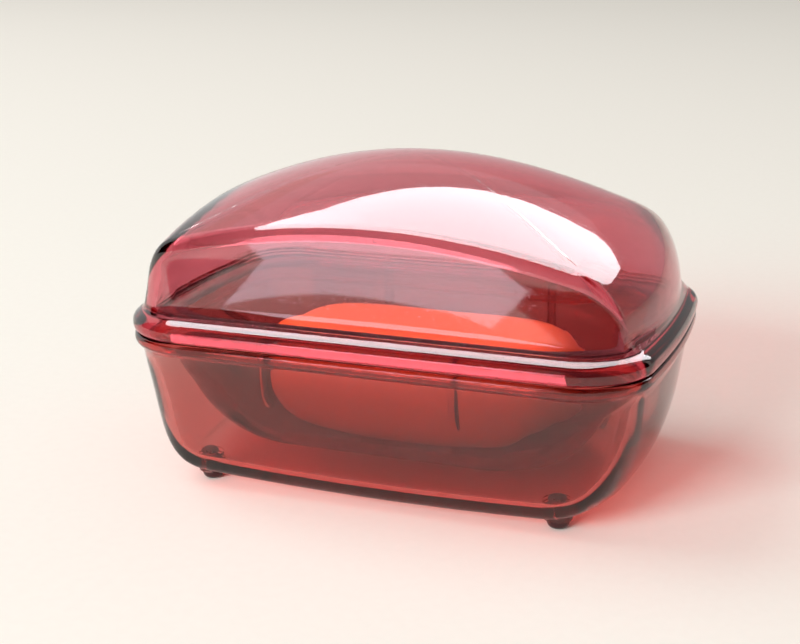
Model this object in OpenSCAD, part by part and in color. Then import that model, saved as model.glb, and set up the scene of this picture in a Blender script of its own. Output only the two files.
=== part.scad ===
// Travel soap box: a domed lid over a footed base, with a hanging dish and a bar of soap.
// Both shells are lofts of rounded-rectangle rings with bowed ends. Millimetres, +Z up,
// origin on the ground under the middle of the box.

/* [Overall] */
// Length over the rim beads
length = 116; // [104:1:130]
// Width over the rim beads
width = 72; // [66:1:82]
// Height of the parting line above the ground
parting_z = 33; // [31:0.5:37]
// Corner radius of the rim in plan
rim_corner_r = 13.5; // [12:0.5:18]
// How far each end bows out in plan
end_bow = 2.8; // [1:0.2:4]
// Wall thickness of both shells
wall = 2.2; // [1.6:0.1:2.6]

/* [Lid] */
// Height of the lid's crown above the parting line
lid_rise = 36.5; // [35:0.5:40]
// Fall of the crown towards each end
crown_fall_x = 13; // [10:0.5:13.5]
// Distance from the middle at which that fall is taken
crown_out_x = 50; // [45:1:60]
// Fall of the crown towards the front and the back
crown_fall_y = 9.8; // [9:0.2:12]
// Distance from the middle at which that fall is taken
crown_out_y = 30; // [27:1:36]
// Easing of the lengthways fall along the front and back edges
crown_ease = 5.5; // [4:0.1:7]
// Height of the lid's rim bead
lid_bead_h = 5.0; // [4.8:0.2:6]
// How far the lid's bead stands out from its wall
lid_bead_out = 2.2; // [1.8:0.1:2.4]
// Lean of the lid's front and back walls
lid_lean_front = 2.0; // [1:0.5:3]
// Lean of the lid's end walls, up to where they start to curve in
lid_lean_end = 0.3; // [0.1:0.05:0.4]
// Radius of the lid's front and back top edges
lid_edge_r = 2.0; // [1.5:0.1:4]
// How far the lid's ends draw back from their middle to their corners
lid_end_bow = 4.5; // [3:0.1:5.5]
// Run of the lid's soft end shoulder along the length, in the middle of the end
lid_shoulder_run = 15; // [10:0.5:17]
// Run of that shoulder at the corners
lid_shoulder_side = 8; // [5:0.5:12]
// Height above the bead at which the lid's ends start to curve in
lid_shoulder_start = 2; // [1:0.5:4]

/* [Base] */
// Depth of the base's outside below the parting line
base_depth = 31.0; // [29:0.5:31.5]
// Height of the base's rim bead
base_bead_h = 3.2; // [2.8:0.2:4]
// How far the base's bead stands in from the lid's
base_bead_in = 0.2; // [0:0.1:0.5]
// How far the base's bead stands out from its wall
base_bead_out = 1.4; // [1:0.1:2]
// Lean of the base's front and back walls
base_lean_front = 2.5; // [1.5:0.5:3]
// Lean of the base's end walls
base_lean_end = 1.2; // [0.8:0.2:2]
// Radius of the base's front and back bottom edges
base_edge_r = 3.5; // [2.5:0.5:4.5]
// Run of the base's bottom curve at the ends
base_sweep_run = 9.5; // [8:0.5:12]
// Rise of the base's bottom curve at the ends
base_sweep_rise = 16; // [14:0.5:19]
// Rise of the belly of the floor towards each end
belly_x = 1.5; // [1:0.1:2]
// Distance from the middle at which that rise is taken
belly_out_x = 40; // [36:1:48]
// Height of the locating lip above the parting line
lip_h = 2.0; // [1.5:0.1:2.4]
// Thickness of the locating lip
lip_t = 1.2; // [0.9:0.1:1.3]

/* [Dish] */
// Depth of the dish below the parting line, outside
dish_depth = 26.5; // [24:0.5:27]
// Wall thickness of the dish
dish_wall = 1.8; // [1.4:0.1:2]
// Thickness of the flange that the dish hangs by
flange_t = 1.3; // [1:0.1:1.4]
// Width of the flange along the front and back
flange_front = 4.6; // [4.2:0.2:5]
// Width of the flange at the ends
flange_end = 5.0; // [4:0.5:6]
// Distance between the two fins of a side, from their middle
fin_x = 20.5; // [18:0.5:23]
// How far the fins of a side stand to its left, seen from outside
fin_shift = 2; // [0:0.5:3]
// Reach of the fins below the parting line
fin_len = 14; // [12:0.5:15]
// How far below the parting line the edge of a fin stays upright
fin_straight = 7; // [5:0.5:9]
// Thickness of the fins and of the stops
fin_t = 1.6; // [1.2:0.1:2]
// How far each end stop reaches into the dish
stop_run = 6; // [4:0.5:7]
// Drop from the rim to the full reach of an end stop
stop_drop = 8.5; // [6:0.5:10]
// Corner radius of the dish's floor
dish_floor_r = 10; // [8:0.5:12]

/* [Soap] */
// Length of the bar
soap_l = 70; // [60:1:72]
// Width of the bar
soap_w = 45; // [38:1:46]
// Thickness of the bar
soap_h = 25; // [18:1:25]
// Dip along the top of the bar
soap_dip = 2.8; // [0:0.2:3.2]
// How far the bar lies towards the right end of the dish
soap_shift = 2; // [-3:0.5:3]

/* [Feet] */
// Distance of the feet in from the ends of the rim
foot_in_x = 19; // [17:0.5:24]
// Distance of the feet in from the front and the back of the rim
foot_in_y = 10.5; // [10:0.5:15]
// Diameter of each foot
foot_d = 4.6; // [4:0.2:5]
// Diameter of the stem through the floor
foot_stem_d = 2.4; // [2:0.1:2.8]
// Diameter of the button inside the floor
foot_button_d = 3.8; // [3.4:0.2:4.2]
// Height of the button above the inside of its boss
foot_button_h = 0.8; // [0.6:0.1:1]
// Standing height of each foot below its boss
foot_h = 2.0; // [1.8:0.1:2.2]
// Radius of the round edge of the foot's pad
foot_round = 1.3; // [0.8:0.1:1.5]
// Bevel of the foot's button
foot_bevel = 0.4; // [0.2:0.1:0.5]
// Margin of the boss round each foot
boss_margin = 0.7; // [0.5:0.1:1]
// Rise of the boss above the inside of the floor
boss_rise = 0.6; // [0.5:0.1:1]

/* [Fits] */
// Gap between the lid and the base, and between the dish and its seat
seat_gap = 0.3; // [0.3:0.05:0.4]
// Sideways play between the lip and what closes over it
lip_play = 0.4; // [0.3:0.05:0.5]
// Play of each foot's stem in its hole, on the radius
stem_play = 0.05; // [0.03:0.01:0.08]
// Room round each foot's button, on the radius
button_play = 0.3; // [0.2:0.1:0.5]

/* [Hidden] */

// Segments of each corner, of each long side and of each end
corner_n = 7;
side_n = 8;
end_n = 4;
// Steps up each straight wall
wall_n = 2;
// Steps of each rounded edge
edge_n = 5;
// Steps from the middle of a crown or floor out to its edge
crown_n = 4;
// Points round the bar, and how square its oval is (2 is an ellipse)
bar_n = 40;
bar_square = 2.7;

hx = length / 2;
hy = width / 2;
foot_x = hx - foot_in_x;
foot_y = hy - foot_in_y;
base_wall_in = base_bead_in + base_bead_out;
lip_out_in = base_wall_in + wall;
lid_skirt_in = lip_out_in - lip_play;
boss_d = foot_d + 2 * boss_margin;
flange_in = lip_out_in + lip_play;
flange_z = parting_z + lip_h + seat_gap;
// Slopes and bevels: step inside the lid, root of the lip, flange, mouth of the dish
step_drop = 0.5;
flange_bevel = 0.3;
mouth_bevel = 0.6;
lid_step_z = parting_z + lid_bead_h - step_drop;
lip_root_z = parting_z - base_bead_h + step_drop;
mouth_front = flange_in + flange_front;
mouth_end = flange_in + flange_end;
// How much tighter the corners of the dish's mouth are than the rim's
mouth_tighter = 1;
mouth_r = rim_corner_r - mouth_tighter;
// Least half of the straight stretch between two corners of a ring of the dish
ring_straight = 1;
// Depth that the fins and stops are rooted in the dish's wall
fin_root = dish_wall / 2;
// How far in from the rim the fins end, clear of the lip, and where their edge curves in
fin_in = lip_out_in + lip_t + lip_play;
fin_turn_z = parting_z - fin_straight;
dish_floor_z = parting_z - dish_depth + dish_wall;
// How far a cutting hole runs on past what it cuts
hole_over = 1;
// Share of the edge's rounding that the bar's length and its width take
bar_ease_l = 0.9;
bar_ease_w = 0.8;
// Shape of a rim bead: share of its stand-out that it lies in, share of its height
bead_shape = [[0.42, 0], [0.1, 0.1], [0, 0.36], [0.14, 0.6], [0.5, 0.82], [0.85, 0.93]];
// Shape of the dish: share of its depth, and how far in from the mouth at the ends and sides
dish_shape = [[0.05, 0, 0], [0.3, 1.2, 0.5], [0.55, 4.2, 1.6], [0.75, 8.4, 3.4],
              [0.9, 13.5, 6.5], [0.975, 20, 11], [1, 28, 17]];

function mix(a, b, t) = a + (b - a) * t;
function curve(a, b, c, t) = mix(mix(a, b, t), mix(b, c, t), t);

// One corner arc of a ring: points with the weight of the end direction as third value
function arc_points(cx, cy, r, from) =
    [for (i = [0 : corner_n]) let (a = from + 90 * i / corner_n)
        [cx + r * cos(a), cy + r * sin(a), pow(cos(a), 2)]];

// Points strictly between two corners
function side_points(p, q, n, w) =
    [for (i = [1 : n - 1]) [mix(p[0], q[0], i / n), mix(p[1], q[1], i / n), w]];

// Rounded rectangle set in from the rim by in_x and in_y, with bowed ends
function plan_ring(in_x, in_y, r) =
    let (x = hx - in_x - end_bow, y = hy - in_y, cx = x - r, cy = y - r,
         flat = concat(
            arc_points(cx, cy, r, 0), side_points([cx, y], [-cx, y], side_n, 0),
            arc_points(-cx, cy, r, 90), side_points([-x, cy], [-x, -cy], end_n, 1),
            arc_points(-cx, -cy, r, 180), side_points([-cx, -y], [cx, -y], side_n, 0),
            arc_points(cx, -cy, r, 270), side_points([x, -cy], [x, cy], end_n, 1)))
    [for (p = flat) [p[0] + p[0] / x * end_bow * (1 - pow(p[1] / y, 2)), p[1], p[2]]];

// Ring of plain 3D points at one height
function level(in_x, in_y, r, z) = [for (p = plan_ring(in_x, in_y, r)) [p[0], p[1], z]];
function rim_level(inset, z) = level(inset, inset, rim_corner_r - inset, z);

// Height of the lid's crown and of the base's belly, both of the outside
function crown_z(x, y) =
    let (u = pow(x / crown_out_x, 2), v = pow(y / crown_out_y, 2))
    parting_z + lid_rise - crown_fall_x * u - crown_fall_y * v + crown_ease * u * v;
function belly_z(x, y) = parting_z - base_depth + belly_x * pow(x / belly_out_x, 2);

// Where an end of the lid stands at y, outside (t = 0) or inside (t = wall)
function lid_end_x(y, t) =
    hx - lid_bead_out - lid_lean_end - t - lid_end_bow * pow(y / crown_out_y, 2);

// How far a place lies along the end shoulder: 0 at its start and 1 at the end
function shoulder_share(x, y, t) =
    let (run = mix(lid_shoulder_run, lid_shoulder_side, pow(y / crown_out_y, 2)))
    max(0, min(1, (abs(x) - lid_end_x(y, t)) / run + 1));

// Height of the lid's top: the crown, which drops to the ends as a quarter of an ellipse
function lid_top_z(x, y, t) =
    let (share = shoulder_share(x, y, t),
         drop = crown_z(lid_end_x(y, t), y) - t - parting_z - lid_bead_h - lid_shoulder_start)
    crown_z(x, y) - t - drop * (1 - sqrt(1 - share * share));

// Drop of a round edge of radius r at the distance d in from its wall
function round_drop(r, d) = d < r ? r - sqrt(r * r - pow(r - d, 2)) : 0;

// Straight wall from a start ring up or down to the edge, as rings
function wall_rings(start, z_start, edge, z_edge) =
    [for (j = [1 : wall_n]) let (t = j / wall_n) [for (i = [0 : len(start) - 1])
        [mix(start[i][0], edge[i][0], t), mix(start[i][1], edge[i][1], t),
         mix(z_start, z_edge[i], t)]]];

// Rounded edge from the top of the lid's wall in to its crown
function lid_edge_rings(edge, crown, radius, t) =
    [for (j = [1 : edge_n]) let (in = 1 - cos(90 * j / edge_n)) [for (i = [0 : len(edge) - 1])
        let (x = mix(edge[i][0], crown[i][0], in), y = mix(edge[i][1], crown[i][1], in),
             d = norm([x - edge[i][0], y - edge[i][1]]))
        [x, y, lid_top_z(x, y, t) - round_drop(radius[i], d)]]];

// Rounded edge from the foot of the base's wall to its belly: a curve that leaves along the
// wall, heads for the height z_turn and arrives along the belly
function base_edge_rings(start, z_start, edge, z_edge, z_turn, belly, z_belly) =
    [for (j = [1 : edge_n]) let (t = j / edge_n) [for (i = [0 : len(edge) - 1])
        let (s = (z_turn[i] - z_edge[i]) / (z_edge[i] - z_start),
             turn = [mix(start[i][0], edge[i][0], 1 + s), mix(start[i][1], edge[i][1], 1 + s)])
        [curve(edge[i][0], turn[0], belly[i][0], t), curve(edge[i][1], turn[1], belly[i][1], t),
         curve(z_edge[i], z_turn[i], z_belly[i], t)]]];

// Rings from the edge of the lid's crown in to its middle
function crown_rings(ring, t) =
    [for (j = [1 : crown_n - 1]) let (s = 1 - j / crown_n) [for (p = ring)
        [p[0] * s, p[1] * s, lid_top_z(p[0] * s, p[1] * s, t)]]];
function belly_rings(ring, lift) =
    [for (j = [1 : crown_n - 1]) let (s = 1 - j / crown_n) [for (p = ring)
        [p[0] * s, p[1] * s, belly_z(p[0] * s, p[1] * s) + lift]]];

// Outside (t = 0) or inside (t = wall) of the lid, from the top of its bead to the crown. Its
// wall follows the rim, cut back by the ends, and its edge gets softer as the shoulder drops.
function lid_skin(t) =
    let (in0 = lid_bead_out + t, z0 = parting_z + lid_bead_h, r = rim_corner_r - in0,
         edge = [for (p = plan_ring(in0 + lid_lean_end, in0 + lid_lean_front, r))
            [sign(p[0]) * min(abs(p[0]), lid_end_x(p[1], t)), p[1]]],
         close = plan_ring(in0 + lid_lean_end + lid_edge_r, in0 + lid_lean_front + lid_edge_r,
                           r - lid_edge_r),
         far = plan_ring(in0 + lid_lean_end + lid_shoulder_run,
                         in0 + lid_lean_front + lid_edge_r, r),
         share = [for (p = edge) shoulder_share(p[0], p[1], t)],
         radius = [for (s = share) lid_edge_r * sqrt(1 - s * s)],
         crown = [for (i = [0 : len(edge) - 1])
            [mix(close[i][0], far[i][0], pow(share[i], 2)),
             mix(close[i][1], far[i][1], pow(share[i], 2))]],
         z_edge = [for (i = [0 : len(edge) - 1])
            lid_top_z(edge[i][0], edge[i][1], t) - radius[i]],
         start = plan_ring(in0, in0, r))
    concat([[for (p = start) [p[0], p[1], z0]]],
           wall_rings(start, z0, edge, z_edge),
           lid_edge_rings(edge, crown, radius, t),
           crown_rings(crown, t));

// Outside (t = 0) or inside (t = wall) of the base, from under its bead to the belly
function base_skin(t) =
    let (in0 = base_wall_in + t, z0 = parting_z - base_bead_h, r = rim_corner_r - in0,
         start = plan_ring(in0, in0, r),
         edge = plan_ring(in0 + base_lean_end, in0 + base_lean_front, r),
         floor = plan_ring(in0 + base_lean_end + base_sweep_run,
                           in0 + base_lean_front + base_edge_r, r),
         z_floor = [for (p = floor) belly_z(p[0], p[1]) + t],
         z_edge = [for (i = [0 : len(edge) - 1])
            z_floor[i] + mix(base_edge_r, base_sweep_rise, edge[i][2])])
    concat([[for (p = start) [p[0], p[1], z0]]],
           wall_rings(start, z0, edge, z_edge),
           base_edge_rings(start, z0, edge, z_edge, z_floor, floor, z_floor),
           belly_rings(floor, t));

function reverse(list) = [for (i = [len(list) - 1 : -1 : 0]) list[i]];

// Closed solid through a list of equal rings, with a point at each end
module loft(rings, first_z, last_z, x = 0) {
    n = len(rings[0]);
    m = len(rings);
    points = concat([for (r = rings) for (p = r) p], [[x, 0, first_z], [x, 0, last_z]]);
    sides = [for (k = [0 : m - 2]) for (i = [0 : n - 1]) let (j = (i + 1) % n)
        each [[k * n + i, (k + 1) * n + i, (k + 1) * n + j], [k * n + i, (k + 1) * n + j, k * n + j]]];
    start_fan = [for (i = [0 : n - 1]) [m * n, i, (i + 1) % n]];
    end_fan = [for (i = [0 : n - 1]) [m * n + 1, (m - 1) * n + (i + 1) % n, (m - 1) * n + i]];
    polyhedron(points = points, faces = concat(start_fan, sides, end_fan), convexity = 6);
}

// Inside (t = 0) or outside (t = dish_wall) of the dish, from its mouth to its floor
function dish_z(share, t) = parting_z + lip_h - share * (dish_depth + lip_h - dish_wall + t);
function dish_rings(t) =
    [for (s = dish_shape)
        let (in_x = mouth_end - t + s[1], in_y = mouth_front - t + s[2],
             r = min(mix(mouth_r, dish_floor_r, s[0]), hy - in_y - ring_straight,
                     hx - in_x - end_bow - ring_straight))
        level(in_x, in_y, r, dish_z(s[0], t))];

module at_feet() {
    for (sx = [-1, 1], sy = [-1, 1]) translate([sx * foot_x, sy * foot_y, 0]) children();
}

// Top of the bosses that carry the feet
function boss_top() = belly_z(foot_x, 0) + wall + boss_rise;

module base() {
    color([0.50, 0.12, 0.18, 0.75])
        difference() {
            union() {
                loft(concat(
                    reverse(base_skin(0)),
                    [for (k = [len(bead_shape) - 2 : -1 : 0])
                        rim_level(base_bead_in + bead_shape[k][0] * base_bead_out,
                                  parting_z - bead_shape[k][1] * base_bead_h)],
                    [rim_level(lip_out_in, parting_z),
                     rim_level(lip_out_in, parting_z + lip_h),
                     rim_level(lip_out_in + lip_t, parting_z + lip_h),
                     rim_level(lip_out_in + lip_t, lip_root_z + lip_t),
                     rim_level(lip_out_in, lip_root_z)],
                    base_skin(wall)),
                    belly_z(0, 0), belly_z(0, 0) + wall);
                at_feet() translate([0, 0, foot_h])
                    cylinder(h = boss_top() - foot_h, d = boss_d, $fn = 48);
            }
            at_feet() {
                translate([0, 0, foot_h - hole_over])
                    cylinder(h = boss_top() - foot_h + 2 * hole_over,
                             r = foot_stem_d / 2 + stem_play, $fn = 48);
                translate([0, 0, boss_top()])
                    cylinder(h = foot_button_h + hole_over,
                             r = foot_button_d / 2 + button_play, $fn = 48);
            }
        }
}

module lid() {
    z0 = parting_z + seat_gap;
    color([0.55, 0.13, 0.22, 0.7])
        loft(concat(
            reverse(lid_skin(wall)),
            [rim_level(lid_bead_out + wall, lid_step_z),
             rim_level(lid_skirt_in, lid_step_z - step_drop),
             rim_level(lid_skirt_in, z0)],
            [for (b = bead_shape)
                rim_level(b[0] * lid_bead_out, z0 + b[1] * (lid_bead_h - seat_gap))],
            lid_skin(0)),
            crown_z(0, 0) - wall, crown_z(0, 0));
}

// A thin plate standing along +X from its side view
module plate(points) {
    rotate([90, 0, 0]) linear_extrude(fin_t, center = true) polygon(points);
}

// A fin outside the dish: it runs down from the flange, centres the dish in the lip of the
// base, and curves in to the wall below
module fin() {
    wall_x = hy - mouth_front + dish_wall;
    foot = lookup((fin_len + lip_h) / (dish_depth + lip_h), [for (s = dish_shape) [s[0], s[2]]]);
    edge_x = hy - fin_in;
    foot_x = wall_x - foot;
    plate(concat(
        [[wall_x - fin_root, flange_z + flange_t / 2], [edge_x, flange_z + flange_t / 2]],
        [for (a = [0 : 15 : 75]) [mix(foot_x, edge_x, cos(a)),
                                  mix(fin_turn_z, parting_z - fin_len, sin(a))]],
        [[foot_x - fin_root, parting_z - fin_len],
         [wall_x - dish_shape[1][2] - fin_root, dish_z(dish_shape[1][0], dish_wall)]]));
}

// A stop inside the end of the dish, from nothing at the rim to its full reach below
module stop() {
    wall_x = hx - mouth_end;
    foot = lookup(stop_run, [for (s = dish_shape) if (s[1] > 0) [s[1], s[0]]]);
    plate([[wall_x + fin_root, parting_z], [wall_x - stop_run, parting_z - stop_drop],
           [wall_x - stop_run, dish_z(foot, 0) - fin_root],
           for (k = [2, 1]) [wall_x - dish_shape[k][1] + fin_root, dish_z(dish_shape[k][0], 0)]]);
}

module tray() {
    flange_top = flange_z + flange_t;
    color([0.42, 0.16, 0.18, 0.8])
        union() {
            loft(concat(
                reverse(dish_rings(dish_wall)),
                [level(mouth_end - dish_wall, mouth_front - dish_wall, mouth_r, flange_z),
                 rim_level(flange_in + flange_bevel, flange_z),
                 rim_level(flange_in, flange_z + flange_bevel),
                 rim_level(flange_in, flange_top - flange_bevel),
                 rim_level(flange_in + flange_bevel, flange_top),
                 level(mouth_end - mouth_bevel, mouth_front - mouth_bevel, mouth_r, flange_top),
                 level(mouth_end, mouth_front, mouth_r, flange_top - mouth_bevel)],
                dish_rings(0)),
                dish_floor_z - dish_wall, dish_floor_z);
            for (turn = [90, -90], x = [-fin_x, fin_x])
                rotate(turn) translate([0, fin_shift + x, 0]) fin();
            for (turn = [0, 180]) rotate(turn) stop();
        }
}

// One ring of the bar at angle a round its edge, from -90 below to 90 above: the plan is a
// squarish oval that draws in with the edge, and the top dips between the ends
function bar_ring(a) =
    let (draw_in = soap_h / 2 * (1 - cos(a)), half_l = soap_l / 2 - bar_ease_l * draw_in,
         half_w = soap_w / 2 - bar_ease_w * draw_in,
         z = dish_floor_z + seat_gap + soap_h / 2 * (1 + sin(a)))
    [for (i = [0 : bar_n - 1])
        let (c = cos(360 * i / bar_n), s = sin(360 * i / bar_n),
             x = half_l * sign(c) * pow(abs(c), 2 / bar_square))
        [x + soap_shift, half_w * sign(s) * pow(abs(s), 2 / bar_square),
         z - soap_dip * max(0, sin(a)) * (1 - pow(2 * x / soap_l, 2))]];
module soap_bar() {
    color([0.95, 0.50, 0.20])
        loft([for (a = [-75 : 15 : 80]) bar_ring(a)],
             dish_floor_z + seat_gap, dish_floor_z + seat_gap + soap_h - soap_dip, soap_shift);
}

// A push-in foot: a round pad under the boss, a stem through it and a button on the inside
module foot(sx, sy) {
    r = foot_d / 2;
    top = boss_top();
    color([0.16, 0.05, 0.06])
        translate([sx * foot_x, sy * foot_y, 0]) rotate_extrude($fn = 48)
            polygon(concat(
                [[0, 0]],
                [for (a = [-90 : 22.5 : 0]) [r - foot_round + foot_round * cos(a),
                                             foot_round + foot_round * sin(a)]],
                [[r, foot_h], [foot_stem_d / 2, foot_h], [foot_stem_d / 2, top],
                 [foot_button_d / 2, top],
                 [foot_button_d / 2 - foot_bevel, top + foot_button_h],
                 [0, top + foot_button_h]]));
}

base();
lid();
tray();
soap_bar();
foot(-1, -1);  // foot_front_left
foot(1, -1);  // foot_front_right
foot(-1, 1);  // foot_back_left
foot(1, 1);  // foot_back_right
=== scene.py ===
"""Travel soap box: domed lid, footed base, hanging dish, bar of soap. Sizes in millimetres."""

from math import cos, pi, radians, sin

import bmesh
import bpy
import numpy as np
from mathutils import Matrix, Vector


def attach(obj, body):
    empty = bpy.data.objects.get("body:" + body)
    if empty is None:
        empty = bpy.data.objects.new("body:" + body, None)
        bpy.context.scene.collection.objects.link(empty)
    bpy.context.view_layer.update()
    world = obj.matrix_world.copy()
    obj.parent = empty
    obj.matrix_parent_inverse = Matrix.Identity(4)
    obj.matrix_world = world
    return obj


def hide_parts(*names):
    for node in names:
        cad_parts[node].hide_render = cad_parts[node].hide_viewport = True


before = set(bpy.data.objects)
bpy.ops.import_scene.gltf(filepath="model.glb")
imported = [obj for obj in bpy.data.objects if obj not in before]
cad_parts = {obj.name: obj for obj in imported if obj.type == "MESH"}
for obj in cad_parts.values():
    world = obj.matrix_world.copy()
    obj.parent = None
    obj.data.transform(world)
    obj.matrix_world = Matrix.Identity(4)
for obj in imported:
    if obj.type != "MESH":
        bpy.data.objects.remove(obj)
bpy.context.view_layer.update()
MM = 0.001

# Sizes, as in the CAD source
LENGTH, WIDTH, PARTING_Z = 116.0, 72.0, 33.0
RIM_CORNER_R, END_BOW, WALL = 13.5, 2.8, 2.2
HX, HY = LENGTH / 2, WIDTH / 2

LID_RISE, FALL_X, FALL_Y, FALL_EASE = 36.5, 13.0, 9.8, 5.5
CROWN_OUT_X, CROWN_OUT_Y = 50.0, 30.0
LID_BEAD_H, LID_BEAD_OUT = 5.0, 2.2
LID_LEAN_FRONT, LID_LEAN_END, LID_EDGE_R = 2.0, 0.3, 2.0
LID_END_BOW, SHOULDER_RUN, SHOULDER_SIDE, SHOULDER_START = 4.5, 15.0, 8.0, 2.0

BASE_DEPTH, BASE_BEAD_H, BASE_BEAD_IN, BASE_BEAD_OUT = 31.0, 3.2, 0.2, 1.4
BASE_LEAN_FRONT, BASE_LEAN_END, BASE_EDGE_R = 2.5, 1.2, 3.5
SWEEP_RUN, SWEEP_RISE, BELLY_X, BELLY_OUT_X = 9.5, 16.0, 1.5, 40.0
LIP_H, LIP_T = 2.0, 1.2

DISH_DEPTH, DISH_WALL, FLANGE_T = 26.5, 1.8, 1.3
FLANGE_FRONT, FLANGE_END = 4.6, 5.0
FIN_X, FIN_LEN, FIN_STRAIGHT, FIN_T = 20.5, 14.0, 7.0, 1.6
STOP_RUN, STOP_DROP = 6.0, 8.5
PLATE_EDGE_R = 0.3
MOUTH_TIGHTER, DISH_FLOOR_R, RING_STRAIGHT = 1.0, 10.0, 1.0

SOAP_L, SOAP_W, SOAP_H, SOAP_DIP, SOAP_SHIFT, SOAP_SQUARE = 70.0, 45.0, 25.0, 2.8, 2.0, 2.7
BAR_EASE_L, BAR_EASE_W = 0.9, 0.8

FOOT_IN_X, FOOT_IN_Y, FOOT_D, FOOT_STEM_D = 19.0, 10.5, 4.6, 2.4
FOOT_BUTTON_D, FOOT_BUTTON_H, FOOT_H, FOOT_ROUND, FOOT_BEVEL = 3.8, 0.8, 2.0, 1.3, 0.4
BOSS_MARGIN, BOSS_RISE, HOLE_OVER = 0.7, 0.6, 1.0
SEAT_GAP, LIP_PLAY, STEM_PLAY, BUTTON_PLAY = 0.3, 0.4, 0.05, 0.3
FLANGE_BEVEL, MOUTH_BEVEL = 0.3, 0.6

# The fins stand off the middle to the side that the photo shows, where the CAD source has the other side
FIN_SHIFT = -2.0

# What follows from them
BASE_WALL_IN = BASE_BEAD_IN + BASE_BEAD_OUT
LIP_OUT_IN = BASE_WALL_IN + WALL
SKIRT_IN = LIP_OUT_IN - LIP_PLAY
FLANGE_IN = LIP_OUT_IN + LIP_PLAY
FLANGE_Z = PARTING_Z + LIP_H + SEAT_GAP
STEP_DROP = 0.5
LID_STEP_Z = PARTING_Z + LID_BEAD_H - STEP_DROP
LIP_ROOT_Z = PARTING_Z - BASE_BEAD_H + STEP_DROP
MOUTH_FRONT, MOUTH_END = FLANGE_IN + FLANGE_FRONT, FLANGE_IN + FLANGE_END
DISH_FLOOR_Z = PARTING_Z - DISH_DEPTH + DISH_WALL
FIN_ROOT = DISH_WALL / 2
FOOT_X, FOOT_Y = HX - FOOT_IN_X, HY - FOOT_IN_Y

# Softened corners: how far in and how far up from the sharp corner each ring lies
STEP_TOP, STEP_FOOT = [(0, 0.2), (-0.1, 0)], [(0.12, 0.06), (0, -0.1)]
SKIRT_FOOT = [(0, 0.3), (-0.1, 0.08), (-0.3, 0)]
LIP_FOOT, LIP_OUTER_EDGE = [(-0.15, 0), (0, 0.15)], [(0, -0.25), (0.08, -0.07), (0.25, 0)]
LIP_INNER_EDGE = [(-0.25, 0), (-0.08, -0.07), (0, -0.25)]
ROOT_TOP, ROOT_FOOT = [(0, 0.2), (-0.15, -0.15)], [(0.15, 0.15), (0, -0.1)]
# Under the flange and round the mouth of the dish: how far out and how far down, the second as shares
FLANGE_ROOT = [(0, 0.25), (0.2, 0)]
MOUTH_ROUND = [(1, 0), (0.4, 0.15), (0.1, 0.5), (0, 1)]

# Steps of the fine surfaces
CORNER_N, SIDE_N, END_N, EDGE_N, CROWN_N, WALL_N = 22, 26, 16, 14, 14, 5
DISH_N, BORE_N, FOOT_N = 6, 64, 48
SOAP_ROUND_N, SOAP_SIDE_N, SOAP_FILL_N = 160, 44, 10
# Step of a drawn curve, in degrees
TURN_STEP = 7.5
# Edges that turn by more than this stay crisp, and plates are bevelled where they turn by more
CRISP, PLATE_CORNER = radians(38), radians(60)


# Rings and lofts
def mix(a, b, t):
    """From a (t = 0) to b (t = 1)."""
    return a + (b - a) * t


def plan_ring(in_x, in_y, r):
    """Rounded rectangle set in from the rim, with bowed ends: points and end weights."""
    x, y = HX - in_x - END_BOW, HY - in_y
    cx, cy = x - r, y - r
    pts, w = [], []

    def corner(px, py, start):
        for i in range(CORNER_N + 1):
            a = radians(start + 90 * i / CORNER_N)
            pts.append((px + r * cos(a), py + r * sin(a)))
            w.append(cos(a) ** 2)

    def side(p, q, n, weight):
        for i in range(1, n):
            pts.append((mix(p[0], q[0], i / n), mix(p[1], q[1], i / n)))
            w.append(weight)

    corner(cx, cy, 0)
    side((cx, y), (-cx, y), SIDE_N, 0)
    corner(-cx, cy, 90)
    side((-x, cy), (-x, -cy), END_N, 1)
    corner(-cx, -cy, 180)
    side((-cx, -y), (cx, -y), SIDE_N, 0)
    corner(cx, -cy, 270)
    side((x, -cy), (x, cy), END_N, 1)
    p = np.array(pts)
    p[:, 0] += p[:, 0] / x * END_BOW * (1 - (p[:, 1] / y) ** 2)
    return p, np.array(w)


def level(in_x, in_y, r, z):
    """A plan ring at one height."""
    p, _ = plan_ring(in_x, in_y, r)
    return np.column_stack([p, np.full(len(p), z)])


def rim_level(inset, z):
    """A ring that runs even with the rim, set in from it all round."""
    return level(inset, inset, RIM_CORNER_R - inset, z)


def soft_edge(inset, z, corner):
    """Rings round a softened corner, placed from where it would be sharp."""
    return [rim_level(inset + way_in, z + up) for way_in, up in corner]


def crown_z(x, y):
    """Height of the lid's crown, which falls away from the middle along and across."""
    u, v = (x / CROWN_OUT_X) ** 2, (y / CROWN_OUT_Y) ** 2
    return PARTING_Z + LID_RISE - FALL_X * u - FALL_Y * v + FALL_EASE * u * v


def lid_end_x(y, t):
    """How far out the lid's bowed end lies, at the depth t into its wall."""
    return HX - LID_BEAD_OUT - LID_LEAN_END - t - LID_END_BOW * (y / CROWN_OUT_Y) ** 2


def shoulder_share(x, y, t):
    """How far a place lies along the lid's end shoulder: 0 at its start and 1 at the end."""
    run = mix(SHOULDER_RUN, SHOULDER_SIDE, (y / CROWN_OUT_Y) ** 2)
    return np.clip((np.abs(x) - lid_end_x(y, t)) / run + 1, 0, 1)


def lid_top_z(x, y, t):
    """Height of the lid's top: the crown, which drops to the ends as a quarter of an ellipse."""
    drop = crown_z(lid_end_x(y, t), y) - t - PARTING_Z - LID_BEAD_H - SHOULDER_START
    return crown_z(x, y) - t - drop * (1 - np.sqrt(1 - shoulder_share(x, y, t) ** 2))


def belly_z(x, y):
    """Height of the base's underside, which rises a little to the ends."""
    return PARTING_Z - BASE_DEPTH + BELLY_X * (x / BELLY_OUT_X) ** 2


def ring3(p, z):
    """Plan points lifted to their heights."""
    return np.column_stack([p, z])


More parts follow.
